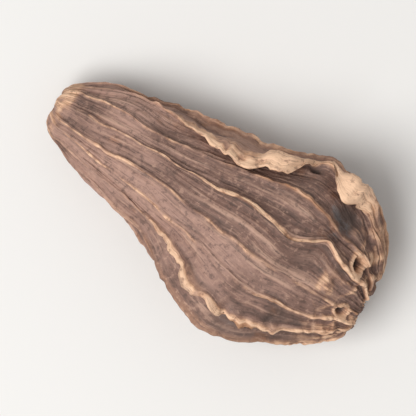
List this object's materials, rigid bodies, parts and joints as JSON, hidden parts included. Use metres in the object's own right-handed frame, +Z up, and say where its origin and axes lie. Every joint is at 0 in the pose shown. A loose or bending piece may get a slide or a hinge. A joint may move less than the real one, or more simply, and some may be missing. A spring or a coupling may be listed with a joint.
{
  "type": "black cardamom pod",
  "caption": "Dried black cardamom pod lying on its side, egg-shaped with one narrow end, with wavy ribs from end to end and a folded wing along one side.",
  "frame": {"origin": "on the table under the middle of the pod's box", "axes": "+X from the stalk end to the broad apex end, +Y across the pod to the side of the folded wing, +Z up"},
  "size_m": [0.0352, 0.0204, 0.015],
  "materials": {
    "husk": "dry, fibrous, matt with worn paler crests"
  },
  "bodies": {
    "root": {"pod": "husk"}
  },
  "joints": []
}
